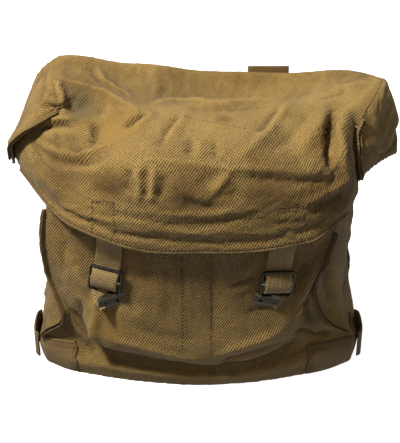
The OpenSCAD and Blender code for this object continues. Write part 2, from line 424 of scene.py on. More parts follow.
class Nodes:
    """Short ways to build a material's node tree."""

    def __init__(self, name):
        self.material = bpy.data.materials.new(name)
        self.material.use_nodes = True
        self.tree = self.material.node_tree
        self.shader = self.tree.nodes["Principled BSDF"]

    def add(self, kind, **values):
        """A node, with its properties and, by name with spaces as _, its inputs set."""
        node = self.tree.nodes.new(kind)
        for key, value in values.items():
            if hasattr(node, key):
                setattr(node, key, value)
            else:
                self.plug(node, key.replace("_", " "), value)
        return node

    def plug(self, node, key, value):
        socket = node.inputs[key]
        if isinstance(value, bpy.types.NodeSocket):
            self.tree.links.new(value, socket)
        else:
            socket.default_value = value

    def math(self, operation, *values):
        node = self.tree.nodes.new("ShaderNodeMath")
        node.operation = operation
        for i, value in enumerate(values):
            self.plug(node, i, value)
        return node.outputs[0]

    def times(self, a, b):
        return self.math("MULTIPLY", a, b)

    def plus(self, a, b):
        return self.math("ADD", a, b)

    def look(self, **values):
        """Sets the shader's own inputs, by name with spaces as _."""
        for key, value in values.items():
            self.plug(self.shader, key.replace("_", " "), value)

    def mix(self, factor, a, b):
        """Mixes two colours."""
        node = self.tree.nodes.new("ShaderNodeMix")
        node.data_type = "RGBA"
        self.plug(node, 0, factor)
        self.plug(node, 6, a)
        self.plug(node, 7, b)
        return node.outputs[2]

    def scale(self, value, low, high, out_low=0.0, out_high=1.0):
        """Maps a value between two ranges, kept inside the second."""
        node = self.tree.nodes.new("ShaderNodeMapRange")
        for i, number in enumerate((value, low, high, out_low, out_high)):
            self.plug(node, i, number)
        return node.outputs[0]

    def noise(self, vector, scale, detail=3.0, roughness=0.55):
        node = self.add("ShaderNodeTexNoise", Scale=scale, Detail=detail, Roughness=roughness)
        self.tree.links.new(vector, node.inputs["Vector"])
        return node.outputs["Fac"]

    def spot(self, place, centre, radius, strength):
        """A ragged round patch about a place in millimetres, from 0 to strength."""
        node = self.tree.nodes.new("ShaderNodeVectorMath")
        node.operation = "DISTANCE"
        self.tree.links.new(place, node.inputs[0])
        node.inputs[1].default_value = tuple(c * MM for c in centre)
        ragged = self.times(self.noise(place, 38, 4, 0.6), radius * 1.1 * MM)
        away = self.plus(node.outputs["Value"], ragged)
        return self.scale(away, radius * 0.75 * MM, radius * 1.6 * MM, strength, 0.0)

    def coordinates(self):
        """The cloth's own UV, and the place on the sack."""
        node = self.tree.nodes.new("ShaderNodeTexCoord")
        return node.outputs["UV"], node.outputs["Object"]

    def attribute(self, name):
        node = self.tree.nodes.new("ShaderNodeAttribute")
        node.attribute_name = name
        return node.outputs["Fac"]

    def bump(self, height, distance, strength=1.0, normal=None):
        node = self.add("ShaderNodeBump", Height=height, Distance=distance, Strength=strength)
        if normal is not None:
            self.tree.links.new(normal, node.inputs["Normal"])
        return node.outputs["Normal"]


def colour(red, green, blue):
    """A linear colour from sRGB numbers of 0 to 255."""
    def one(c):
        c = c / 255
        return c / 12.92 if c <= 0.04045 else ((c + 0.055) / 1.055) ** 2.4
    return (one(red), one(green), one(blue), 1)


def twill_height(n, uv, pitch, lean):
    """Diagonal ribs of a twill weave, dotted by the threads that cross them, from 0 to 1."""
    axes = n.add("ShaderNodeSeparateXYZ", Vector=uv)
    u, v = axes.outputs[0], axes.outputs[1]
    wobble = n.times(n.math("SUBTRACT", n.noise(uv, 60, 2), 0.5), 0.0022)
    run = n.plus(n.plus(n.times(u, lean), v), wobble)
    ribs = n.math("SINE", n.times(run, 2 * math.pi / (pitch * MM)))
    across = n.plus(n.math("SUBTRACT", v, n.times(u, lean * 0.4)), wobble)
    threads = n.math("SINE", n.times(across, 2 * math.pi / (pitch * 0.72 * MM)))
    uneven = n.scale(n.noise(uv, 380, 2), 0.3, 0.7, -0.45, 0.45)
    both = n.plus(n.plus(ribs, n.times(threads, 0.32)), uneven)
    return n.scale(both, -1.4, 1.4)


def weave_strength(n, place, rib):
    """How strongly the twill shows: in full on the front, and fainter on the lid's top, painted faint
    there for the bright light that washes the weave out.
    """
    axes = n.add("ShaderNodeSeparateXYZ", Vector=place)
    # Painted light: the twill fades towards the back of the lid's top, where the light washes it out
    faint_lit_top = n.scale(axes.outputs[1], 20 * MM, -62 * MM, 0.4 * rib, rib)
    low = n.scale(axes.outputs[2], 225 * MM, 250 * MM, rib, 0.0)
    return n.math("MAXIMUM", faint_lit_top, low)


def canvas(name, base, worn, deep, pitch, rib, stain=0.3, lean=1.6, marks=()):
    """Old cotton canvas: twill ribs, crests faded by wear and lightened with painted highlight, hollows
    darkened with painted shade, and stains. marks are (centre, radius, colour, strength) patches at their
    places on the sack: stains, and gold patches of painted light."""
    n = Nodes(name)
    uv, place = n.coordinates()
    weave = twill_height(n, uv, pitch, lean)
    hollow = n.attribute("hollow")
    fade = n.noise(place, 9, 4)
    blotch = n.noise(place, 26, 5, 0.65)
    fuzz = n.noise(uv, 900, 2)
    # The folds' crests and hollows, for painted highlight and painted shade
    crest = n.scale(hollow, -0.9, 0.1, 1.0, 0.0)
    painted_hollow_shade = n.scale(hollow, 0.1, 1.2, 0.0, 1.0)
    warm = n.noise(place, 17, 3)
    tone = n.mix(n.scale(fade, 0.38, 0.62), base, worn)
    tone = n.mix(n.times(n.scale(warm, 0.48, 0.66), 0.5), tone, KHAKI_WARM)
    # Crests paler for wear and painted highlight; hollows darkened with painted shade
    tone = n.mix(n.times(crest, 0.6), tone, worn)
    tone = n.mix(n.times(painted_hollow_shade, 0.55), tone, deep)
    tone = n.mix(n.times(n.scale(blotch, 0.56, 0.74), stain), tone, deep)
    strength = weave_strength(n, place, rib)
    tone = n.mix(n.times(n.scale(weave, 0.6, 0.05), strength), tone, deep)
    bright = n.times(n.scale(weave, 0.62, 1.0), n.times(strength, 0.75))
    tone = n.mix(bright, tone, worn)
    tone = n.mix(n.times(n.scale(fuzz, 0.5, 0.8), 0.35), tone, worn)
    # The marks paint stains, and gold patches of painted light
    for centre, radius, tint, strength in marks:
        tone = n.mix(n.spot(place, centre, radius, strength), tone, tint)
    n.look(Base_Color=tone, Roughness=n.scale(fade, 0, 1, 0.82, 0.95), Specular_IOR_Level=0.18,
           Sheen_Weight=0.08, Sheen_Roughness=0.5)
    height = n.plus(n.times(weave, strength), n.times(fuzz, 0.3))
    n.look(Normal=n.bump(height, 0.0013, 1.0, n.bump(blotch, 0.0016, 0.7)))
    return n.material


def webbing(name, base, worn, deep):
    """Pressed cotton webbing: small herringbone diamonds."""
    n = Nodes(name)
    uv, place = n.coordinates()
    axes = n.add("ShaderNodeSeparateXYZ", Vector=uv)
    u, v = axes.outputs[0], axes.outputs[1]
    fold = n.math("PINGPONG", u, 2.1 * MM)
    ribs = n.math("SINE", n.times(n.plus(fold, v), 2 * math.pi / (2.2 * MM)))
    weave = n.scale(ribs, -1, 1)
    fade = n.noise(place, 40, 4)
    fuzz = n.noise(uv, 1100, 2)
    tone = n.mix(n.scale(fade, 0.35, 0.65), base, worn)
    tone = n.mix(n.times(n.scale(weave, 0.55, 0.0), 0.85), tone, deep)
    n.look(Base_Color=tone, Roughness=0.85, Specular_IOR_Level=0.2, Sheen_Weight=0.08)
    height = n.plus(weave, n.times(fuzz, 0.3))
    n.look(Normal=n.bump(height, 0.0005, 1.0))
    return n.material


def metal(name, base, worn, rough):
    """Blackened brass, rubbed bright along its edges."""
    n = Nodes(name)
    _, place = n.coordinates()
    patches = n.noise(place, 160, 5, 0.7)
    scratch = n.noise(place, 900, 3)
    edge = n.scale(n.add("ShaderNodeNewGeometry").outputs["Pointiness"], 0.52, 0.6)
    rubbed = n.times(edge, n.scale(patches, 0.3, 0.6))
    rubbed = n.math("MAXIMUM", rubbed, n.scale(patches, 0.66, 0.78, 0.0, 0.6))
    n.look(Base_Color=n.mix(rubbed, base, worn), Metallic=0.85,
           Roughness=n.scale(patches, 0.3, 0.7, rough, rough + 0.2))
    n.look(Normal=n.bump(n.plus(patches, scratch), 0.0002, 0.7))
    return n.material


KHAKI = colour(108, 85, 43)
KHAKI_PALE = colour(152, 124, 70)
KHAKI_DEEP = colour(38, 24, 8)
KHAKI_WARM = colour(98, 71, 28)
# Painted light: the gold tint laid on in patches where facets catch the light
PAINTED_LIGHT_GOLD = colour(136, 105, 48)
UMBER = colour(74, 51, 20)
GREY = colour(82, 73, 50)

# Where the lid and the body are marked, with stains and with gold patches of painted light on lit facets:
# centre and radius in millimetres, tint, strength
LID_MARKS = [
    ((-128, -58, 226), 34, UMBER, 0.5), ((-172, 10, 240), 34, UMBER, 0.45),
    ((-108, 6, 268), 22, GREY, 0.75), ((-76, -22, 256), 26, PAINTED_LIGHT_GOLD, 0.6),
    ((-76, -72, 224), 24, UMBER, 0.65), ((-14, -84, 224), 30, UMBER, 0.65),
    ((70, -78, 218), 40, UMBER, 0.65), ((128, -56, 206), 36, UMBER, 0.7),
    ((20, -82, 226), 14, PAINTED_LIGHT_GOLD, 0.5), ((-30, 50, 260), 40, GREY, 0.2),
    ((22, -12, 262), 9, UMBER, 0.5), ((108, -40, 250), 30, PAINTED_LIGHT_GOLD, 0.4),
    ((-104, -70, 196), 34, PAINTED_LIGHT_GOLD, 0.3),
]
BODY_MARKS = [
    ((0, -80, 110), 46, UMBER, 0.4), ((56, -80, 96), 40, UMBER, 0.35),
    ((-124, -50, 150), 26, PAINTED_LIGHT_GOLD, 0.5), ((-60, -72, 134), 24, PAINTED_LIGHT_GOLD, 0.45),
    ((-88, -76, 66), 30, PAINTED_LIGHT_GOLD, 0.35), ((110, -60, 130), 32, UMBER, 0.5),
    ((108, -56, 62), 22, GREY, 0.6), ((30, -76, 142), 16, GREY, 0.5),
]
PALE_WEB = colour(136, 111, 66)
PALE_WEB_WORN = colour(168, 141, 92)

canvas_fall = canvas("canvas_fall", KHAKI, KHAKI_PALE, KHAKI_DEEP, pitch=4.1, rib=0.95, marks=LID_MARKS)
canvas_body = canvas("canvas_body", KHAKI, KHAKI_PALE, KHAKI_DEEP, pitch=3.8, rib=0.75, stain=0.45,
                     lean=-1.5, marks=BODY_MARKS)
binding = canvas("binding", colour(96, 73, 38), KHAKI_PALE, KHAKI_DEEP, pitch=1.6, rib=0.7)
web_pale = webbing("web_pale", PALE_WEB, PALE_WEB_WORN, colour(66, 48, 24))
web_dull = webbing("web_dull", colour(112, 88, 48), colour(140, 113, 66), colour(60, 43, 20))
brass = metal("brass", colour(36, 32, 27), colour(150, 134, 104), 0.42)
thread = canvas("thread", colour(112, 88, 50), colour(142, 118, 74), KHAKI_DEEP, pitch=0.8, rib=0.3)


# ---- the sack's walls ------------------------------------------------------------------------

SACK_INSIDE = (0, 0, 120)

# Columns round the gussets and the front, bottom to top: back left, left gusset, left seam,
# the front with its sagging belly, right seam, right gusset, back right
LEFT_BACK = [
    (-156, 73, 0), (-157, 73, 14), (-157, 73, 32), (-156, 73, 48), (-155, 73, 62), (-155, 73, 84),
    (-155, 73, 110), (-155, 73, 140), (-155, 73, 168), (-156, 73, 200), (-157, 73, 238)]
LEFT_GUSSET = [
    [(-158, 45, 0), (-160, 45, 14), (-160, 45, 32), (-158, 45, 48), (-156, 45, 62), (-154, 45, 84),
     (-150, 45, 110), (-148, 45, 140), (-147, 45, 168), (-148, 45, 200), (-152, 45, 238)],
    [(-158, 8, 0), (-161, 8, 14), (-160, 8, 31), (-158, 8, 46), (-158, 8, 60), (-155, 8, 82),
     (-148, 8, 110), (-144, 8, 140), (-143, 8, 168), (-142, 8, 200), (-144, 8, 238)],
    [(-157, -22, 0), (-160, -22, 15), (-158, -22, 31), (-155, -22, 44), (-155, -23, 58),
     (-152, -18, 78), (-146, -16, 106), (-143, -20, 140), (-142, -21, 168), (-139, -20, 200),
     (-138, -18, 238)],
]
LEFT_SEAM = [
    (-152, -40, 0), (-156, -41, 16), (-155, -41, 32), (-148, -44, 43), (-132, -49, 57),
    (-135, -45, 78), (-144, -40, 106), (-147, -42, 140), (-145, -42, 168), (-138, -38, 200),
    (-128, -24, 229)]
FRONT = [
    [(-124, -55, 0), (-125, -57, 15), (-123, -50, 37), (-124, -44, 50), (-122, -47, 62),
     (-125, -49, 82), (-126, -51, 110), (-127, -53, 140), (-126, -54, 168), (-125, -52, 200),
     (-114, -34, 230)],
    [(-101, -62, 0), (-102, -64, 15), (-101, -58, 38), (-102, -65, 45), (-104, -74, 58),
     (-106, -72, 80), (-107, -63, 108), (-107, -59, 140), (-106, -59, 168), (-104, -58, 200),
     (-96, -44, 232)],
    [(-60, -71, 0), (-60, -74, 15), (-60, -67, 34), (-60, -76, 40), (-60, -85, 54),
     (-60, -82, 80), (-60, -73, 108), (-60, -70, 140), (-60, -69, 168), (-60, -68, 200),
     (-60, -60, 235)],
    [(0, -77, 0), (0, -79, 13), (0, -71, 26), (0, -81, 32), (0, -89, 48),
     (0, -87, 78), (0, -82, 110), (0, -78, 140), (0, -76, 168), (0, -75, 200), (0, -70, 235)],
    [(55, -72, 0), (55, -75, 14), (55, -67, 31), (55, -77, 38), (55, -86, 54),
     (55, -83, 80), (55, -74, 108), (55, -71, 140), (55, -70, 168), (55, -70, 200),
     (55, -65, 234)],
    [(90, -64, 0), (91, -66, 16), (92, -58, 39), (90, -66, 47), (87, -76, 61),
     (85, -75, 82), (85, -67, 109), (89, -63, 140), (94, -61, 168), (96, -60, 200),
     (93, -52, 231)],
    [(122, -54, 0), (124, -55, 17), (120, -48, 40), (110, -54, 50), (101, -64, 64),
     (98, -65, 88), (98, -63, 110), (103, -60, 138), (112, -57, 168), (116, -52, 196),
     (108, -42, 226)],
]
RIGHT_SEAM = [
    (149, -40, 0), (152, -41, 18), (150, -41, 35), (138, -45, 45), (122, -48, 58),
    (111, -51, 84), (108, -53, 104), (113, -54, 128), (123, -50, 152), (128, -43, 190),
    (122, -28, 220)]
RIGHT_GUSSET = [
    [(153, -24, 0), (156, -24, 16), (153, -24, 34), (147, -26, 45), (141, -27, 58),
     (136, -28, 82), (136, -28, 108), (139, -27, 138), (141, -26, 162), (142, -26, 192),
     (138, -12, 222)],
    [(155, 8, 0), (158, 8, 15), (156, 8, 33), (150, 8, 46), (146, 8, 60), (146, 6, 82),
     (144, 5, 108), (146, 5, 138), (147, 5, 166), (149, 5, 200), (150, 5, 234)],
    [(156, 45, 0), (158, 45, 14), (157, 45, 32), (153, 45, 48), (150, 45, 62), (148, 45, 84),
     (145, 45, 110), (147, 45, 140), (149, 45, 168), (152, 45, 200), (155, 45, 238)],
]
RIGHT_BACK = [
    (156, 73, 0), (157, 73, 14), (157, 73, 32), (156, 73, 48), (154, 73, 62), (152, 73, 84),
    (148, 73, 110), (148, 73, 140), (150, 73, 168), (153, 73, 200), (157, 73, 238)]

walls = {
    "left_gusset": loft([LEFT_BACK, *LEFT_GUSSET, LEFT_SEAM], 46, 96),
    "front_panel": loft([LEFT_SEAM, *FRONT, RIGHT_SEAM], 132, 96),
    "right_gusset": loft([RIGHT_SEAM, *RIGHT_GUSSET, RIGHT_BACK], 46, 96),
}

# Folds pressed into the walls: points along each, its width, and how far it stands out
FRONT_FOLDS = [
    # the belly's lower edge, which hangs over the base
    ([(-108, -60, 44), (-93, -66, 43), (-70, -72, 38), (-40, -76, 32), (-19, -75, 28), (5, -75, 25),
      (19, -75, 26)], 4, -6),
    ([(-97, -80, 66), (-77, -84, 58), (-49, -88, 50), (-20, -86, 42), (5, -84, 37), (14, -80, 31)],
     4.5, 3.2),
    ([(12, -78, 27), (23, -80, 34), (43, -78, 42), (66, -72, 48), (88, -64, 52)], 4, -6),
    ([(12, -82, 36), (23, -90, 48), (43, -88, 56), (66, -84, 64), (86, -76, 74)], 4.5, 3.2),
    ([(88, -70, 56), (100, -60, 50), (113, -53, 42), (135, -46, 40)], 4, -5),
    ([(22, -80, 30), (34, -78, 18), (38, -77, 8)], 5, -3.0),
    # the folds at its left end
    ([(-97, -68, 112), (-99, -73, 96), (-101, -77, 78), (-104, -75, 56), (-100, -64, 46)], 5, 5.5),
    ([(-113, -62, 96), (-113, -58, 76), (-111, -58, 60), (-106, -62, 46)], 5, -6),
    ([(-130, -46, 104), (-126, -48, 84), (-120, -52, 66)], 6, 3.0),
    ([(-127, -50, 44), (-117, -52, 34), (-100, -60, 28)], 4, -3.0),
    ([(-124, -50, 156), (-128, -50, 132), (-126, -48, 108)], 6, -3.0),
    ([(-118, -54, 130), (-112, -58, 116), (-104, -66, 104)], 5, 2.4),
    # the folds at its right end
    ([(121, -55, 150), (112, -60, 124), (101, -66, 104), (94, -70, 84), (90, -74, 66)], 4.5, 4.5),
    ([(100, -64, 140), (92, -68, 118), (86, -72, 100)], 5, -3.0),
    ([(112, -58, 108), (104, -62, 84), (108, -58, 64), (118, -52, 52)], 5, -6),
    ([(126, -48, 62), (112, -56, 58), (98, -66, 60)], 4, 2.5),
    # small creases
    ([(24, -78, 118), (33, -78, 121), (45, -75, 124), (58, -73, 126)], 2.6, -2.2),
    ([(28, -80, 112), (40, -78, 116), (52, -76, 119)], 3, 1.4),
    ([(88, -70, 106), (72, -76, 100), (52, -80, 92), (36, -84, 90)], 4, -2.2),
    ([(-84, -72, 92), (-64, -78, 88), (-48, -82, 90)], 7, 2.0),
    ([(-66, -82, 78), (-47, -87, 70), (-19, -88, 66), (5, -88, 62)], 6, -2.0),
    ([(-30, -76, 160), (-26, -80, 132), (-28, -84, 104)], 5, 1.6),
    ([(-18, -77, 154), (-15, -80, 122), (-13, -86, 84), (-8, -88, 50)], 1.6, -0.9),
    ([(11, -77, 154), (12, -80, 122), (12, -86, 84), (13, -88, 50)], 1.6, -0.9),
    ([(60, -72, 160), (46, -74, 146), (34, -78, 136)], 5, -2.0),
    ([(-60, -72, 160), (-52, -76, 140), (-56, -78, 120)], 6, -1.8),
]
GUSSET_FOLDS = [
    ([(126, -40, 140), (122, -46, 110), (128, -42, 84), (140, -36, 58)], 6, -4),
    ([(142, -22, 58), (148, 6, 52), (152, 40, 50)], 6, -3.0),
    ([(139, -26, 130), (150, 4, 140), (154, 40, 132)], 9, 2.2),
    ([(136, -32, 156), (146, -10, 160), (152, 10, 154)], 5, -2.4),
    ([(138, -28, 96), (147, 0, 84), (151, 34, 88)], 8, -1.8),
]

LEFT_FOLDS = [([(-x, y, z) for x, y, z in line], width, height) for line, width, height in GUSSET_FOLDS]
wall_folds = {"left_gusset": LEFT_FOLDS, "front_panel": FRONT_FOLDS, "right_gusset": GUSSET_FOLDS}
for part in walls:
    hold = held(walls[part], 0.12, (1, 1, 1, 1))
    walls[part] = settle(part, walls[part], SACK_INSIDE, 0.012, hold, 4)
    walls[part] = relief(walls[part], SACK_INSIDE, wall_folds[part])

wall_nodes = {"front_panel": ["front_panel", "centre_band"]}
for part, grid in walls.items():
    piece = sheet(part + "_cloth", grid, SACK_INSIDE)
    finish(piece, "sack", canvas_body, wall_nodes.get(part, [part]))


# ---- the lid ---------------------------------------------------------------------------------

LID_INSIDE = (0, 20, 150)

# Columns across the lid, each from its hinge over the top and down the front fall
LID = [
    [(-152, 74, 262), (-134, 66, 286), (-137, 45, 285), (-137, 25, 283), (-133, 8, 275),
     (-131, -2, 262), (-151, 4, 254), (-166, 1, 243), (-172, -8, 228), (-167, -16, 209)],
    [(-138, 75, 262), (-124, 67, 286.5), (-121, 50, 284), (-119, 35, 282), (-116, 20, 277),
     (-113, 0, 262), (-123, -20, 247), (-142, -29, 237), (-153, -32, 220), (-156, -27, 200)],
    [(-112, 75, 262), (-104, 70, 283), (-102, 52, 279), (-100, 36, 276), (-98, 20, 273),
     (-95, -6, 256), (-97, -38, 243), (-112, -52, 231), (-121, -60, 208), (-128, -60, 184)],
    [(-80, 75, 262), (-79, 72, 276.5), (-77, 56, 271), (-75, 40, 267), (-73, 16, 269),
     (-72, -14, 258), (-76, -50, 250), (-84, -67, 235), (-90, -74, 208), (-95, -77, 175)],
    [(-47, 75, 262), (-47, 73, 274), (-46, 58, 266), (-46, 42, 259), (-45, 4, 263),
     (-45, -20, 261), (-47, -60, 255), (-50, -78, 236), (-52, -84, 202), (-54, -85, 165)],
    [(0, 75, 261), (0, 73, 267), (0, 60, 261), (0, 42, 255), (0, 22, 265),
     (0, -20, 261), (0, -63, 251), (0, -80, 233), (0, -86, 200), (0, -87, 164)],
    [(45, 75, 261), (45, 73, 265.5), (45, 60, 260), (45, 44, 254), (45, 24, 265),
     (45, -18, 262), (45, -58, 255), (45, -76, 236), (45, -84, 204), (45, -87, 165)],
    [(90, 75, 260), (90, 73, 264.5), (90, 60, 261), (90, 46, 256), (92, 12, 266),
     (88, -12, 262), (86, -48, 251), (85, -70, 234), (85, -80, 205), (88, -84, 171)],
    [(124, 75, 260), (125, 72, 268), (122, 58, 266), (120, 44, 266), (117, 22, 268),
     (110, -6, 262), (106, -36, 251), (104, -62, 234), (104, -73, 206), (107, -78, 174)],
    [(138, 75, 260), (142, 70, 269), (140, 56, 271), (137, 42, 271), (132, 22, 268),
     (124, 2, 260), (119, -22, 250), (122, -48, 231), (124, -60, 206), (126, -60, 181)],
    [(150, 75, 260), (160, 64, 268), (162, 50, 273), (164, 38, 275), (150, 16, 271),
     (138, 0, 264), (134, -18, 253), (136, -38, 225), (137, -46, 203), (133, -51, 179)],
    [(157, 74, 260), (170, 58, 266), (171, 46, 272), (170, 34, 273), (160, 12, 267),
     (149, -6, 256), (146, -16, 243), (148, -25, 220), (149, -29, 202), (138, -42, 181)],
]

lid_grid = loft(LID, 150, 136)

LID_FOLDS = [
    # the seam crest that runs down from the left corner, and the ridge across the top
    ([(-133, 26, 282), (-120, 27, 282), (-109, 25, 280), (-98, 24, 277), (-88, 23, 274),
      (-75, 13, 271), (-64, 7, 268), (-54, 1, 264)], 3.2, 3.2),
    ([(-54, 1, 264), (-46, 15, 262), (-36, 31, 259), (-24, 37, 258), (-9, 25, 264), (14, 15, 267),
      (42, 19, 267), (70, 23, 263), (93, 23, 263), (104, 17, 267)], 3.6, 3.2),
    ([(-28, 16, 262), (0, 5, 264), (30, 4, 264), (60, 8, 264), (86, 8, 264)], 6, -1.8),
    ([(-112, 10, 268), (-98, 6, 266), (-84, 2, 262)], 9, -3.5),
    ([(-98, 65, 280), (-91, 48, 275), (-83, 41, 270), (-70, 34, 264), (-59, 20, 264)], 2.8, 1.8),
    ([(-104, 60, 280), (-98, 46, 277), (-88, 36, 272)], 4, -2.2),
    ([(-30, 60, 262), (-36, 46, 258), (-40, 34, 258)], 4, -1.4),
    # creases on the front slope
    ([(-70, -22, 258), (-59, -9, 258), (-52, -4, 261), (-47, 3, 262)], 3.4, -6),
    ([(-62, -26, 258), (-50, -12, 260), (-42, 4, 262)], 5, 2.5),
    ([(-18, 4, 264), (-22, -10, 263), (-28, -24, 261), (-33, -41, 260), (-38, -61, 255)], 3.8, -3.6),
    ([(-12, 2, 264), (-16, -12, 262), (-22, -28, 260), (-27, -44, 258)], 4.5, 2.0),
    ([(-9, -34, 259), (-10, -55, 254), (-13, -66, 250)], 3.8, -2.8),
    ([(13, -38, 258), (12, -58, 254), (12, -68, 249)], 3.8, -2.8),
    ([(-1, -40, 258), (0, -58, 254), (-1, -68, 248)], 4.5, 2.0),
    ([(88, 24, 263), (70, -13, 264), (59, -37, 262), (48, -52, 257), (35, -65, 253), (24, -72, 245)],
     5, 3.8),
    ([(73, 10, 265), (66, -6, 265), (58, -22, 262), (48, -36, 260)], 5, -4.0),
    ([(86, -22, 260), (72, -44, 256), (58, -60, 250)], 7, -3.0),
    ([(120, 6, 260), (106, -24, 257), (93, -46, 251), (87, -59, 244)], 6, 2.6),
    ([(102, 2, 267), (90, -19, 261), (78, -41, 254), (70, -59, 249)], 6, -2.4),
    # the front edge of the top, and the folds down the fall
    ([(-78, -57, 246), (-52, -67, 249), (-26, -68, 248), (0, -69, 247), (26, -72, 244),
      (53, -71, 242), (79, -71, 240), (106, -62, 234), (131, -45, 227)], 4.5, 3.0),
    ([(26, -79, 239), (53, -74, 234), (79, -71, 230), (107, -63, 225), (130, -50, 220)], 5, -3.4),
    ([(-55, -67, 251), (-55, -77, 242), (-54, -82, 227), (-54, -84, 209)], 3.4, 3.6),
    ([(-63, -70, 246), (-64, -74, 233), (-66, -79, 218)], 5.5, -3.4),
    ([(-102, -65, 220), (-88, -72, 219), (-75, -76, 219), (-64, -78, 222)], 8, -3.0),
    ([(-48, -72, 245), (-48, -78, 231), (-48, -82, 215)], 3.4, -2.8),
    ([(-40, -70, 248), (-41, -80, 237), (-42, -85, 225), (-40, -86, 211)], 3.4, 3.2),
    ([(-33, -74, 243), (-33, -80, 232), (-35, -83, 216)], 4.5, -3.2),
    ([(-25, -76, 240), (-18, -81, 231), (-7, -81, 223), (5, -83, 219), (19, -83, 219)], 5, 2.2),
    ([(-20, -82, 216), (0, -85, 211), (20, -85, 212)], 7, -1.8),
    ([(32, -74, 244), (22, -80, 238), (14, -82, 229), (6, -83, 221)], 4, 3.0),
    ([(16, -76, 242), (6, -80, 236), (-4, -82, 230)], 5, -2.6),
    ([(36, -80, 232), (30, -82, 222), (26, -84, 214)], 6, -2.4),
    ([(-58, -84, 205), (-40, -85, 205), (-17, -86, 204), (9, -86, 204), (33, -84, 207),
      (52, -83, 211)], 3.6, 2.2),
    ([(144, -34, 217), (131, -53, 216), (116, -66, 214), (102, -74, 211), (86, -80, 202)], 3.6, 3.2),
    ([(136, -47, 206), (122, -59, 205), (107, -72, 203), (94, -78, 198)], 5, -3.2),
    ([(142, -44, 196), (126, -58, 190), (108, -74, 184)], 6, 2.0),
    # the folded left corner
    ([(-134, -42, 228), (-117, -50, 229), (-98, -57, 232), (-79, -65, 240)], 6, 3.2),
    ([(-155, -15, 236), (-148, -21, 234), (-137, -37, 236), (-126, -40, 233), (-112, -44, 233),
      (-98, -48, 235), (-82, -56, 244)], 3.6, -5.5),
    ([(-148, -21, 238), (-135, -35, 239), (-124, -40, 241), (-112, -41, 241), (-100, -40, 244),
      (-90, -37, 246), (-76, -41, 252)], 4, 4.0),
    ([(-135, -27, 241), (-126, -20, 244), (-116, -23, 248), (-107, -25, 248)], 4.5, 3.2),
    ([(-101, -32, 243), (-97, -24, 244), (-95, -14, 250), (-95, -5, 257)], 5, -5.5),
    ([(-141, -20, 243), (-133, -15, 245), (-126, -14, 248), (-117, -13, 249), (-107, -14, 252)],
     2.8, -6.5),
    ([(-141, -9, 249), (-132, -10, 253), (-125, -10, 256), (-115, -9, 256), (-107, -11, 255)],
     4.2, 5.0),
    ([(-136, 24, 283), (-130, 14, 281), (-126, 6, 276), (-123, 0, 269), (-122, -4, 262)], 4.5, 5.0),
    ([(-131, 2, 268), (-129, -3, 262), (-128, -6, 258)], 2.6, -10),
    ([(-116, 14, 274), (-112, 4, 265), (-110, -4, 259)], 6, -4.0),
    ([(-152, -30, 220), (-140, -44, 212), (-126, -56, 202)], 6, 2.2),
    ([(-150, -34, 210), (-134, -50, 202), (-120, -60, 196)], 6, -2.0),
    # the folded right corner: a tube between two slits
    ([(139, 10, 268), (132, 0, 266), (129, -12, 260), (128, -26, 250), (129, -36, 240),
      (132, -44, 226), (134, -48, 214)], 5.0, 6.0),
    ([(124, 10, 262), (121, -4, 257), (118, -18, 251), (117, -32, 244), (118, -46, 235),
      (120, -54, 224)], 3.6, -9.0),
    ([(139, -2, 260), (142, -10, 249), (143, -22, 235), (147, -27, 220), (149, -30, 205),
      (148, -34, 192)], 3.0, -8.0),
    ([(122, 35, 268), (136, 37, 270), (150, 38, 274), (165, 37, 275)], 4, 2.6),
    ([(109, 17, 268), (126, 27, 268), (140, 31, 270)], 5, -3.0),
]


def row_at(station):
    """The lid grid's row that a station of its columns falls on."""
    down = np.mean([chords(c) for c in np.asarray(LID, float)], axis=0)
    return int(round(down[station] * (lid_grid.shape[1] - 1)))


lid_hold = held(lid_grid, 0.18, (1, 1, 1, 0.5))
lid_hold[:, :row_at(1) + 4] = 1
lid_grid = settle("lid", lid_grid, LID_INSIDE, 0.012, lid_hold, 4)
lid_grid = relief(lid_grid, LID_INSIDE, LID_FOLDS)

# The main sheet comes up close under the left ear's seam
TUCK_COLUMNS, TUCK_SHARE = 18, 0.5
tuck_column = np.arange(TUCK_COLUMNS)
tuck_fade = np.cos(tuck_column / TUCK_COLUMNS * math.pi / 2)[:, None, None]
tuck_row = np.sin(np.linspace(0, math.pi, row_at(8) - row_at(4)))[None, :, None]
tucked = lid_grid[:TUCK_COLUMNS, row_at(4):row_at(8)]
tucked += (tucked[:1] - tucked) * tuck_fade * tuck_row * TUCK_SHARE

lid = finish(sheet("lid_cloth", lid_grid, LID_INSIDE, 2.2), None, canvas_fall)
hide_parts("lid_top", "lid_front", "lid_hem")
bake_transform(lid)



def resample(points, count):
    """Evenly spaced points along a line."""
    points = np.asarray(points, float)
    at = np.linspace(0, 1, count)
    run = chords(points)
    return np.stack([np.interp(at, run, points[:, k]) for k in range(3)], axis=1)


def weld(grid, line, reach=14):
    """Moves a grid's first column onto a line of points and eases the next columns after it."""
    shift = resample(line, len(grid)) - grid[:, 0]
    fade = np.clip(1 - np.arange(grid.shape[1]) / reach, 0, 1) ** 2
    return grid + shift[:, None] * fade[None, :, None]


EAR_INSIDE = (0, 20, 200)


def puffed(name, stations, folds):
    """A side piece of the lid: lofted, folded and settled."""
    grid = relief(loft(stations, 44, 50), EAR_INSIDE, folds)
    return settle(name, grid, EAR_INSIDE, 0.015, held(grid, 0.1, (1, 1, 1, 0.6)), 4)


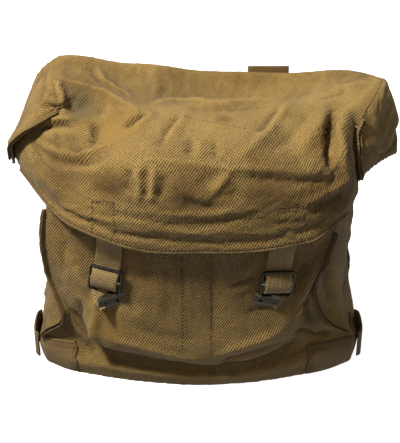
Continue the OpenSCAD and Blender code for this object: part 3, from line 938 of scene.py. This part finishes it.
# The lid's left ear: a puffed side piece whose bound front edge lies over the main sheet
LEFT_EAR = [
    [(-134, 66, 286), (-146, 68, 277), (-157, 70, 264), (-166, 70, 235), (-167, 70, 206)],
    [(-137, 45, 285), (-149, 45, 276), (-161, 45, 263), (-171, 45, 235), (-173, 45, 205)],
    [(-137, 25, 283), (-151, 25, 275), (-165, 26, 258), (-175, 26, 235), (-175, 26, 204)],
    [(-134, 11, 277), (-149, 11, 271), (-166, 11, 255), (-178, 10, 233), (-177, 8, 206)],
    [(-131, 3, 269), (-148, 0, 264), (-165, -3, 252), (-178, -5, 236), (-176, -3, 208)],
    [(-132, -4, 261), (-150, -12, 255.5), (-164, -16, 248.5), (-175, -17, 236), (-173, -10, 212)],
]
EAR_FOLDS_LEFT = [
    ([(-146, 60, 280), (-152, 40, 274), (-154, 20, 272)], 6, 2.0),
    ([(-160, 24, 266), (-170, 18, 250), (-176, 10, 226)], 8, -2.0),
    ([(-140, 6, 273), (-154, 2, 262), (-168, -2, 248)], 6, 2.0),
    ([(-176, 20, 236), (-174, 22, 214)], 9, 2.0),
    ([(-150, 62, 276), (-160, 56, 262)], 5, -2.5),
]
left_ear = weld(puffed("left_ear", LEFT_EAR, EAR_FOLDS_LEFT), lid_grid[0][row_at(1):row_at(5)])

# The right ear takes its top and front edges from the main sheet
edge = lid_grid[-1]
edge_top = edge[row_at(1):row_at(5)]
edge_front = edge[row_at(5):row_at(8)]
RIGHT_EAR = [
    [tuple(edge_top[0]), (176, 66, 260), (180, 66, 250), (181, 66, 225), (180, 66, 203)],
    [tuple(edge[row_at(2)]), (180, 50, 267), (186, 48, 252), (188, 48, 226), (187, 48, 202)],
    [tuple(edge[row_at(3)]), (180, 32, 268), (188, 30, 252), (190, 30, 226), (190, 30, 202)],
    [tuple(edge[row_at(4)]), (172, 12, 260), (180, 12, 248), (182, 12, 226), (180, 12, 207)],
    [tuple(edge[row_at(4) + 10]), (161, -4, 252), (168, -5, 240), (168, -5, 222), (165, -3, 206)],
    [tuple(point) for point in resample(edge_front, 5)],
]
EAR_FOLDS_RIGHT = [
    ([(176, 30, 268), (166, 10, 258), (158, -8, 244)], 4, 2.0),
    ([(182, 34, 258), (174, 12, 250), (162, -4, 236)], 6, -2.6),
    ([(186, 38, 246), (180, 16, 232), (172, 6, 214)], 5, 2.4),
    ([(188, 44, 236), (186, 30, 220), (182, 20, 206)], 8, -2.0),
]
right_ear = weld(puffed("right_ear", RIGHT_EAR, EAR_FOLDS_RIGHT), edge_top)
right_ear = weld(right_ear[::-1].swapaxes(0, 1), edge_front).swapaxes(0, 1)[::-1]

for side, ear in (("left", left_ear), ("right", right_ear)):
    piece = sheet(side + "_ear_cloth", ear, EAR_INSIDE)
    finish(piece, "lid", canvas_fall, [f"lid_{side}_side"])


# ---- bound seams -----------------------------------------------------------------------------

FRAY = 0.3


def layered_seam(name, path, out, proud, layer):
    """A seam allowance that stands out of a corner: two cloth edges side by side."""
    path = curve(path, 110)
    out = unit(np.broadcast_to(np.asarray(out, float), path.shape))
    ahead = unit(np.gradient(path, axis=0))
    across = unit(np.cross(ahead, out))
    layers = []
    for sign in (-1, 1):
        wave = soften_line(rng.normal(0, FRAY, (len(path), 1)), 1)
        lean = unit(out + across * (sign * 0.28))
        middle = path + lean * (proud / 2 - 1.2 + wave) + across * (sign * (layer * 0.7 + wave * 0.4))
        layers.append(sweep(f"{name}_{sign}", middle, lean, flat_section(proud, layer, 5)))
    return join(name, layers)


# Each seam: its body, its line on the cloth, the way it stands out, how proud, and its layer
front, left_wall, right_wall = (walls[k] for k in ("front_panel", "left_gusset", "right_gusset"))
SEAMS = {
    "front_left": ("sack", front[0][14:78:4], (-0.8, -0.5, 0.1), 5, 1.0),
    "front_right": ("sack", front[-1][16:74:4], (0.65, -0.7, 0.1), 5, 1.0),
    "back_left": ("sack", left_wall[0][::5], (-0.5, 0.85, 0), 3.6, 1.0),
    "back_right": ("sack", right_wall[-1][::5], (0.5, 0.85, 0), 3.6, 1.0),
    "lid_left": ("lid", left_ear[-1, :-3][::4], (0.1, -0.8, -0.5), 5, 1.3),
    "lid_right": ("lid", right_ear[-1][::4], (0.5, -0.8, 0.1), 5, 1.2),
}
for seam, (body, line, out, proud, layer) in SEAMS.items():
    piece = layered_seam(seam + "_seam_cloth", line, out, proud, layer)
    finish(piece, body, binding, [seam + "_seam"])


# ---- back, base, hems ------------------------------------------------------------------------

BACK_TOP = 263.5
BACK_HEIGHTS = [z for _, _, z in LEFT_BACK] + [BACK_TOP]


def back_column(x, bulge):
    """A column of the back panel at x, standing out by bulge half way up."""
    return [(x, 73.5 + bulge * math.sin(math.pi * z / 264), z) for z in BACK_HEIGHTS]


back_grid = loft([
    [(x, 73.3, z) for x, _, z in LEFT_BACK] + [(-157.5, 73.3, BACK_TOP)],
    back_column(-120, 0.5), back_column(-60, 0.8), back_column(0, 1.2), back_column(60, 0.8),
    back_column(120, 0.5),
    [(x, 73.3, z) for x, _, z in RIGHT_BACK] + [(157.5, 73.3, BACK_TOP)],
], 110, 92)
BACK_FOLDS = [
    ([(-130, 74, 60), (-90, 74, 44), (-40, 74, 38)], 8, -2.0),
    ([(130, 74, 70), (96, 74, 50), (50, 74, 40)], 8, -2.0),
    ([(-20, 74, 150), (10, 74, 110), (20, 74, 70)], 12, 1.0),
    ([(-110, 74, 200), (-100, 74, 150), (-112, 74, 110)], 10, -1.6),
    ([(112, 74, 190), (104, 74, 150), (116, 74, 120)], 10, -1.6),
]
back_grid = relief(back_grid, SACK_INSIDE, BACK_FOLDS)
back_grid = settle("back", back_grid, SACK_INSIDE, 0.008, held(back_grid, 0.15), 1.5)
back = sheet("back_panel_cloth", back_grid, SACK_INSIDE)
finish(back, "sack", canvas_body, ["back_panel"])


def filled(front, back, left, right):
    """A grid spanned between four edge lines that meet at its corners."""
    rows, columns = len(front), len(left)
    u = np.linspace(0, 1, rows)[:, None, None]
    v = np.linspace(0, 1, columns)[None, :, None]
    ruled = front[:, None] * (1 - v) + back[:, None] * v
    ruled = ruled + left[None] * (1 - u) + right[None] * u
    corners = front[0] * (1 - u) * (1 - v) + front[-1] * u * (1 - v)
    return ruled - corners - back[0] * (1 - u) * v - back[-1] * u * v


bottom_left = walls["left_gusset"][::-1, 0]
bottom_right = walls["right_gusset"][:, 0]
bottom_front = walls["front_panel"][:, 0]
bottom_back = curve([bottom_left[-1], (0, 73.5, 0), bottom_right[-1]], len(bottom_front))
base_grid = filled(bottom_front, bottom_back, bottom_left, bottom_right)
base = sheet("base_cloth", base_grid, (0, 0, 400), 2.6)
finish(base, "sack", canvas_body, ["base_panel"])

rim = np.concatenate([walls["left_gusset"][:-1, -14:], walls["front_panel"][:-1, -14:],
                      walls["right_gusset"][:, -14:]])
rim_normal = normals(rim, SACK_INSIDE)
hem = sheet("mouth_hem_cloth", (rim - rim_normal * (CANVAS_T + 0.1))[3:-3], SACK_INSIDE, 1.4)
finish(hem, "sack", canvas_body, ["mouth_hem"])

hem_grid = lid_grid[6:-6, -20:]
hem_normal = normals(lid_grid, LID_INSIDE)[6:-6, -20:]
hem = sheet("lid_hem_cloth", hem_grid - hem_normal * 2.3, LID_INSIDE, 1.5)
finish(hem, "lid", canvas_fall)


# ---- webbing on the sack ---------------------------------------------------------------------

def level(grid, height):
    """The points where a wall's columns pass a height."""
    return np.array([[np.interp(height, c[:, 2], c[:, 0]), np.interp(height, c[:, 2], c[:, 1]), height]
                     for c in grid])


BAND_LOW, BAND_HIGH = 1.5, 33


def corner_band(side, front_x):
    """A webbing patch round a lower front corner, out to front_x on the front panel."""
    rows = []
    for height in np.linspace(BAND_LOW, BAND_HIGH, 16):
        front = level(walls["front_panel"], height)
        flank = level(walls[side + "_gusset"], height)
        flank = flank[flank[:, 1] < 0]
        if side == "left":
            line = np.concatenate([flank[:-1], front[front[:, 0] < front_x]])
        else:
            line = np.concatenate([front[front[:, 0] > front_x][:-1], flank])
        rows.append(soften_line(resample(line, 46), 3))
    grid = np.swapaxes(np.array(rows), 0, 1)
    grid = soften(grid, 4)
    grid = grid + normals(grid, SACK_INSIDE) * 1.9
    wave = 0.5 * np.sin(np.linspace(0, 9, 46))[:, None, None]
    return grid + normals(grid, SACK_INSIDE) * wave * 0.5


bands = {"left": corner_band("left", -120), "right": corner_band("right", 103)}
for side, grid in bands.items():
    piece = sheet(side + "_corner_band_cloth", grid, SACK_INSIDE, WEB_T)
    finish(piece, "sack", web_dull, [f"{side}_corner_band"])


LOOP_FOOT = {"left": -160.5, "right": 157}


def strap_loop(side, sign):
    """The small webbing loop that stands out of a corner band, open up and down."""
    x = LOOP_FOOT[side]
    plan = [(x, -38), (x + sign * 2.6, -36), (x + sign * 4.2, -29), (x + sign * 4.6, -19),
            (x + sign * 4.2, -9), (x + sign * 2.6, -2), (x, 0)]
    path = curve([(px, py, 20) for px, py in plan], 40)
    loop = sweep(side + "_strap_loop_cloth", path, (0, 0, 1), flat_section(30, WEB_T, 7))
    finish(loop, "sack", web_dull, [f"{side}_strap_loop"])


strap_loop("left", -1)
strap_loop("right", 1)


# ---- closures --------------------------------------------------------------------------------

joints = {j["name"]: j for j in frame["joints"]}
BAR_OUT = 5.0


class Place:
    """A front buckle's own axes: side along its bar, up, and out from the front panel."""

    def __init__(self, joint):
        self.bar = np.array(joint["pos_m"], float) / MM
        self.side = unit(joint["axis"])
        self.side = self.side * np.sign(self.side[0])
        self.out = unit(np.cross(self.side, (0, 0, 1)))
        self.up = np.cross(self.out, self.side)

    def at(self, side, out, up):
        """A point given sideways, out from the panel's face, and up from the bar."""
        return self.bar + self.side * side + self.out * (out - BAR_OUT) + self.up * up

    def panel_out(self, side, up):
        """How far out the front panel's cloth stands at a place."""
        flat = walls["front_panel"].reshape(-1, 3)
        off = flat - self.at(side, 0, up)
        away = np.abs(off @ self.side) + np.abs(off @ self.up)
        return float(off[np.argmin(away)] @ self.out)


places = {"left": Place(joints["left_buckle_tilt"]), "right": Place(joints["right_buckle_tilt"])}


def rounded_rectangle(width, height, radius, steps=6):
    """Points round a rounded rectangle, from the middle of its bottom side, leftwards last."""
    points = [(0, -height / 2)]
    for cx, cy, first in ((1, -1, -90), (1, 1, 0), (-1, 1, 90), (-1, -1, 180)):
        for k in range(steps + 1):
            turn = math.radians(first + 90 * k / steps)
            points.append((cx * (width / 2 - radius) + radius * math.cos(turn),
                           cy * (height / 2 - radius) + radius * math.sin(turn)))
    points.append((0, -height / 2))
    return np.array(points)


# The frames' reach above and below the bar, their bar's width, and the opening in the lower one
FRONT_BUCKLE = {"width": 33, "up": 14, "down": 16, "bar": 3.2, "gap": 8}
SHOULDER_BUCKLE = {"width": 54, "up": 15, "down": 19, "bar": 4.4, "gap": 12}
ROD_RADIUS = 1.6
FRAME_T = 3.0


def buckle(name, at, width, up, down, bar, gap):
    """A cast frame open at the middle of its lower bar, with a round centre bar. at(side, out
    offset, up) gives the place of a point."""
    ring = rounded_rectangle(width - bar, up + down - bar, 3.2)
    ring = ring + (0, (up - down) / 2)
    ring[0] = (gap / 2, ring[0][1])
    ring[-1] = (-gap / 2, ring[-1][1])
    path = np.array([at(x, 0, z) for x, z in ring])
    facing = at(0, 1, 0) - at(0, 0, 0)
    frame_part = sweep(name + "_frame", path, facing, flat_section(FRAME_T, bar * 0.86, 4))
    half = (width - bar) / 2
    rod = sweep(name + "_bar", np.array([at(x, 0, 0) for x in np.linspace(-half, half, 6)]), facing,
                round_section(ROD_RADIUS, 12))
    return join(name, [frame_part, rod])


# A strap's route at its middle line, as (out from the panel, up from the bar)
STRAP_ROUTE = [
    (9.5, 54), (7.5, 48), (4.5, 40), (2.6, 30), (1.9, 20), (1.5, 15), (1.5, 12.6), (2.6, 10.6),
    (5.6, 9.2), (8.4, 7.2), (10.0, 3.6), (10.5, 0), (10.2, -3.6), (9.0, -7), (6.4, -9.4),
    (3.4, -10.9), (1.9, -12.6), (1.5, -15), (1.7, -17.5), (2.0, -20), (2.2, -23)]
# Where each strap's tail ends: its sideways shift, and how far it is twisted, in degrees
TAILS = {"left": (9, -42), "right": (-7, 6)}


def strap(side):
    """A closure strap threaded through its buckle, from the lid's hem to its metal tip."""
    place = places[side]
    shift, twist = TAILS[side]
    route = curve([(0, *p) for p in STRAP_ROUTE], 150)
    path, sides = [], []
    for _, out, up in route:
        loose = np.clip((-9 - up) / 14, 0, 1)
        slide = shift * loose * loose
        turn = math.radians(twist) * loose
        touching = place.panel_out(slide, up) + 1.6
        if up < -12 or up > 11:
            out = max(out, touching)
        path.append(place.at(slide, out + abs(math.sin(turn)) * 6, up))
        sides.append(place.side * math.cos(turn) + place.out * math.sin(turn))
    path = soften_line(np.array(path), 3)
    tape = sweep(side + "_strap_cloth", path, np.array(sides), flat_section(STRAP_W, WEB_T, 9))
    finish(tape, side + "_strap", web_pale, [f"{side}_strap_web"])
    return path, np.array(sides)


def plate(name, middle, across, along, outline, holes, thick):
    """A flat metal plate with holes. Its outline is in millimetres across and along."""
    data = bpy.data.curves.new(name, "CURVE")
    data.dimensions = "2D"
    data.fill_mode = "BOTH"
    data.extrude = thick / 2 * MM
    data.bevel_depth = 0.4 * MM
    data.bevel_resolution = 2
    for ring in [outline, *holes]:
        spline = data.splines.new("POLY")
        spline.points.add(len(ring) - 1)
        for point, (x, y) in zip(spline.points, ring):
            point.co = (x * MM, y * MM, 0, 1)
        spline.use_cyclic_u = True
    flat = add_object(name + "_curve", data)
    mesh = bpy.data.meshes.new_from_object(flat.evaluated_get(bpy.context.evaluated_depsgraph_get()))
    bpy.data.objects.remove(flat)
    mesh.name = name
    made = add_object(name, mesh)
    face = np.cross(across, along)
    for vertex in mesh.vertices:
        x, y, z = np.array(vertex.co) / MM
        vertex.co = (np.asarray(middle) + across * x + along * y + face * z) * MM
    return made


def circle(x, y, radius, steps=14):
    """Points round a circle."""
    turns = np.linspace(0, 2 * np.pi, steps, endpoint=False)
    return [(x + radius * math.cos(t), y + radius * math.sin(t)) for t in turns]


def strap_anchor(side):
    """The strap's sewn end, flat inside the lid's fall."""
    x = places[side].bar[0]
    fall = lid_grid[np.argmin(np.abs(lid_grid[:, -1, 0] - x)), -34:]
    inward = -normals(lid_grid, LID_INSIDE)[np.argmin(np.abs(lid_grid[:, -1, 0] - x)), -34:]
    path = curve((fall + inward * 5.0)[::6], 40)
    tape = sweep(side + "_strap_anchor_cloth", path, places[side].side, flat_section(STRAP_W, 1.5, 7))
    finish(tape, "lid", web_pale, [f"{side}_strap_anchor"])


for side in ("left", "right"):
    strap_anchor(side)
    place = places[side]
    piece = buckle(side + "_buckle", lambda x, o, z: place.at(x, BAR_OUT + o, z), **FRONT_BUCKLE)
    finish(piece, side + "_buckle", brass, [f"{side}_buckle_frame"])
    path, sides = strap(side)
    end = path[-1]
    down = unit(unit(path[-1] - path[-6]) * 0.25 - place.up)
    across = unit(sides[-1] - down * (sides[-1] @ down))
    tip = plate(side + "_tip", end - down * 3.5, across, down,
                rounded_rectangle(26, 13, 4)[1:-1], [circle(-6.5, 1.5, 1.9), circle(6.5, 1.5, 1.9)], 2.6)
    finish(tip, side + "_strap", brass, [f"{side}_strap_tip"])
    ring = [(1.0, -23), (1.1, -12), (1.6, -6.5), (2.6, -3.4), (2.3, -1), (2.6, 1.4), (5, 2.7),
            (7.3, 1.4), (7.7, 0), (7.3, -1.4), (5.6, -2.7), (3.9, -4.6), (2.9, -8)]
    chape_path = curve([place.at(0, max(out, place.panel_out(0, up) + 0.4) if up < -5 else out, up)
                        for out, up in ring], 70)
    chape = sweep(side + "_chape_cloth", chape_path, place.side, flat_section(STRAP_W, 1.4, 7))
    finish(chape, "sack", web_pale, [f"{side}_chape"])


# ---- shoulder fittings on the back -----------------------------------------------------------

TAB_W = 40
BACK_FACE = 75.2
for side, sign in (("left", -1), ("right", 1)):
    tab_root = np.array(joints[side + "_tab_swing"]["pos_m"]) / MM
    tab_bar = np.array(joints[side + "_shoulder_buckle_tilt"]["pos_m"]) / MM
    x = tab_root[0]
    anchor_path = curve([(x, BACK_FACE, tab_root[2] + 3), (x, BACK_FACE, 252),
                         (x, BACK_FACE + 0.6, 262), (x, BACK_FACE + 1.4, 270)], 24)
    anchor = sweep(side + "_tab_anchor_cloth", anchor_path, (1, 0, 0), flat_section(TAB_W, 2, 9))
    finish(anchor, "sack", web_dull, [f"{side}_tab_anchor"])
    bx, by, bz = tab_bar
    tab_path = curve([(bx, tab_root[1], tab_root[2] - 1), (bx, 76.6, 236), (bx, 76.7, 226),
                      (bx, 77.2, 220.5), (bx, by - 2.0, bz + 2.0), (bx, by, bz + 2.8),
                      (bx, by + 2.0, bz + 2.0), (bx, by + 2.8, bz), (bx, by + 2.0, bz - 2.0),
                      (bx, by, bz - 2.8), (bx, by - 2.2, bz - 2.2), (bx, by - 3.0, bz + 0.6)], 80)
    tab = sweep(side + "_shoulder_tab_cloth", tab_path, (1, 0, 0), flat_section(TAB_W, 1.5, 9))
    finish(tab, side + "_tab", web_dull, [f"{side}_shoulder_tab"])
    piece = buckle(side + "_shoulder_buckle", lambda px, o, z: tab_bar + np.array((px, o, z)),
                   **SHOULDER_BUCKLE)
    finish(piece, side + "_shoulder_buckle", brass, [f"{side}_shoulder_frame"])


# ---- weather flaps inside the mouth ----------------------------------------------------------

FLAP_TRIM = 10
FLAP_GAP = 6


def wall_inside(side, y, z):
    """The x of a point that lies FLAP_GAP inside a gusset, at y and z."""
    grid = walls[side + "_gusset"].reshape(-1, 3)
    x = grid[np.argmin(np.hypot(grid[:, 1] - y, grid[:, 2] - z)), 0]
    return x - math.copysign(FLAP_GAP, x)


for side in ("left", "right"):
    low, high = (np.array(c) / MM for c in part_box(side + "_weather_flap"))
    low[1] += FLAP_TRIM
    flap_stations = []
    for t in np.linspace(0, 1, 5):
        y = low[1] + (high[1] - low[1]) * t
        drop = (0, 0.02, 0.3, 0.65, 0.94, 1.0)
        inset = 4 * (2 * abs(t - 0.5)) ** 4
        heights = [high[2] - (high[2] - low[2] - inset) * d for d in drop]
        flap_stations.append([(wall_inside(side, y, z), y, z) for z in heights])
    flap_grid = loft(flap_stations, 36, 30)
    ripple = np.sin(np.linspace(0, 7, 36))[:, None] * np.sin(np.linspace(0, 3, 30))[None]
    flap_grid[..., 0] += 0.7 * ripple
    flap_out = (4000 if side == "left" else -4000, 0, 200)
    flap = sheet(side + "_weather_flap_cloth", flap_grid, flap_out, 1.2)
    finish(flap, side + "_weather", canvas_body, [f"{side}_weather_flap"])


# ---- stitching -------------------------------------------------------------------------------

def on_surface(grid, inside, line, lift=0.15):
    """A line laid on a grid, with the grid's outward direction along it."""
    flat, n = grid.reshape(-1, 3), normals(grid, inside).reshape(-1, 3)
    points = resample(line, 200)
    nearest = np.argmin(np.linalg.norm(flat[None] - points[:, None], axis=2), axis=1)
    height = np.sum((flat[nearest] - points) * n[nearest], axis=1, keepdims=True)
    return soften_line(points + n[nearest] * (height + lift), 3), n[nearest]


def stitches(name, lines, pitch=3.6, length=2.5, radius=0.42):
    """Thread stitches along lines, each a (points, outward directions) pair."""
    points, faces, uv = [], [], []
    ends = np.array([(-0.5, 0.35), (-0.25, 1), (0.25, 1), (0.5, 0.35)])
    turns = np.linspace(0, 2 * np.pi, 6, endpoint=False)
    for line, outward in lines:
        run = running(line)
        for place_along in np.arange(pitch / 2, run[-1], pitch):
            i = min(np.searchsorted(run, place_along), len(line) - 1)
            ahead = unit(line[min(i + 1, len(line) - 1)] - line[max(i - 1, 0)])
            side_way = unit(np.cross(ahead, outward[i]))
            middle = line[i] + ahead * (place_along - run[i])
            start = len(points)
            for along, swell in ends:
                for turn in turns:
                    offset = side_way * math.cos(turn) + outward[i] * math.sin(turn)
                    points.append(middle + ahead * (along * length) + offset * (radius * swell))
                    uv.append((turn, along * length))
            for ring_number in range(3):
                for k in range(6):
                    a = start + ring_number * 6 + k
                    b = start + ring_number * 6 + (k + 1) % 6
                    faces.append((a, b, b + 6, a + 6))
            faces.append(tuple(start + k for k in range(5, -1, -1)))
            faces.append(tuple(start + 18 + k for k in range(6)))
    return make(name, points, faces, uv)


def hem_line(away, first, last):
    """A line along the lid's fall, away above its lower edge, between two shares of its width."""
    line = []
    for column in lid_grid[int(first * len(lid_grid)):int(last * len(lid_grid))]:
        run = running(column[::-1])
        line.append([np.interp(away, run, column[::-1][:, k]) for k in range(3)])
    return np.array(line)


def box_lines(x, top, bottom, half):
    """The stitched outline that holds a strap inside the fall."""
    y = -82
    return [[(x - half, y, bottom), (x - half, y, top)], [(x - half, y, top), (x + half, y, top)],
            [(x + half, y, top), (x + half, y, bottom)], [(x - half, y, top - 3), (x + half, y, top - 3)]]


lid_lines = [on_surface(lid_grid, LID_INSIDE, hem_line(away, 0.05, 0.97)) for away in (3.5, 36)]
for x, top, bottom in ((-89, 214, 180), (80, 208, 172)):
    lid_lines += [on_surface(lid_grid, LID_INSIDE, line) for line in box_lines(x, top, bottom, 11)]
TOP_SEAM = [(-28, -12, 262), (-12, -10, 262), (5, -16, 262), (24, -22, 261), (42, -28, 260)]
lid_lines.append(on_surface(lid_grid, LID_INSIDE, TOP_SEAM))
finish(stitches("lid_stitches", lid_lines), "lid", thread)

hem_edge = curve(hem_line(0.3, 0.0, 1.0)[::3], 300)
finish(sweep("lid_edge", hem_edge, (0, 0, 1), round_section(1.25, 8)), "lid", binding)

front_lines = []
for x in (-17, 10):
    front_lines.append(on_surface(walls["front_panel"], SACK_INSIDE,
                                  [(x, -80, 30), (x, -84, 80), (x, -78, 160)]))
finish(stitches("front_stitches", front_lines, 3.4, 2.2, 0.36), "sack", thread)

band_lines = []
for side, grid in bands.items():
    for row in (-2, -4):
        band_lines.append(on_surface(grid, SACK_INSIDE, grid[:, row]))
    column = 43 if side == "left" else 2
    band_lines.append(on_surface(grid, SACK_INSIDE, grid[column]))
finish(stitches("band_stitches", band_lines, 3.2, 2.1, 0.4), "sack", thread)

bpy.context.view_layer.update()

FLOOR = 3000
floor_corners = [(x * FLOOR, y * FLOOR, 0) for x, y in ((-1, -1), (1, -1), (1, 1), (-1, 1))]
floor = make("floor", floor_corners, [(0, 1, 2, 3)], [(0, 0)] * 4)
floor_look = Nodes("floor")
floor_look.look(Base_Color=(0.6, 0.6, 0.6, 1), Roughness=0.9, Emission_Color=(1, 1, 1, 1),
                Emission_Strength=0.95)
floor.visible_diffuse = False
floor.data.materials.append(floor_look.material)
